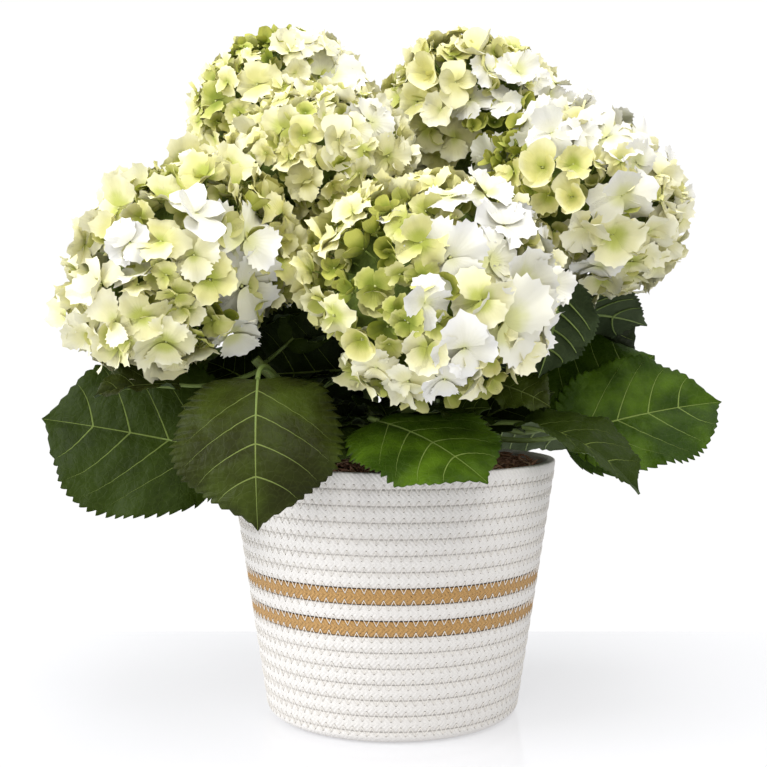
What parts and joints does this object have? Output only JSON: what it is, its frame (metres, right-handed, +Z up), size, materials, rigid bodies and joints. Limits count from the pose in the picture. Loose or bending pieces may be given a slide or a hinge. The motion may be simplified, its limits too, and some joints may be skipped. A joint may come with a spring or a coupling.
{
  "type": "potted hydrangea shrub",
  "caption": "Hydrangea shrub with white mophead flower heads over broad toothed leaves, growing in a white coiled-rope basket planter with tan stripes.",
  "frame": {"origin": "centre of the planter's flat underside, on the surface it stands on", "axes": "+Z up along the planter's own axis, -Y to the front of the plant, +X to its right as seen from the front"},
  "size_m": [0.4216, 0.3433, 0.4484],
  "materials": {
    "white_rope": "matte cotton rope",
    "tan_rope": "matte jute rope",
    "growing_mix": "shredded bark mulch, matte",
    "stem": "satin green cane",
    "blossom": "soft matte petals",
    "leaf": "glossy dark green"
  },
  "bodies": {
    "root": {"planter_lower": "white_rope", "rope_tan_lower": "tan_rope", "planter_middle": "white_rope", "rope_tan_upper": "tan_rope", "planter_upper": "white_rope", "growing_mix": "growing_mix", "cane_back_left": "stem", "cane_back_right": "stem", "cane_front": "stem", "cane_left": "stem", "cane_low_back_left": "stem", "cane_low_back_right": "stem", "cane_right": "stem", "cane_upper_left": "stem", "flower_head_back_left": "blossom", "flower_head_back_right": "blossom", "flower_head_front": "blossom", "flower_head_left": "blossom", "flower_head_low_back_left": "blossom", "flower_head_low_back_right": "blossom", "flower_head_right": "blossom", "flower_head_upper_left": "blossom", "leaf_behind_right": "leaf", "leaf_beside_front": "leaf", "leaf_beside_tall": "leaf", "leaf_between_tall": "leaf", "leaf_far_left": "leaf", "leaf_fill_1": "leaf", "leaf_fill_2": "leaf", "leaf_fill_3": "leaf", "leaf_fill_4": "leaf", "leaf_fill_5": "leaf", "leaf_fill_6": "leaf", "leaf_fill_7": "leaf", "leaf_fill_8": "leaf", "leaf_fill_9": "leaf", "leaf_front": "leaf", "leaf_front_left": "leaf", "leaf_hanging_back_left": "leaf", "leaf_hanging_back_right": "leaf", "leaf_inner_left": "leaf", "leaf_low_back": "leaf", "leaf_low_back_right": "leaf", "leaf_low_left": "leaf", "leaf_low_right": "leaf", "leaf_right": "leaf", "leaf_short_right": "leaf", "leaf_under_front": "leaf", "leaf_under_left": "leaf", "leaf_upper_back": "leaf", "leaf_upper_back_right": "leaf", "leaf_upper_left": "leaf", "leaf_upper_right": "leaf"}
  },
  "joints": []
}
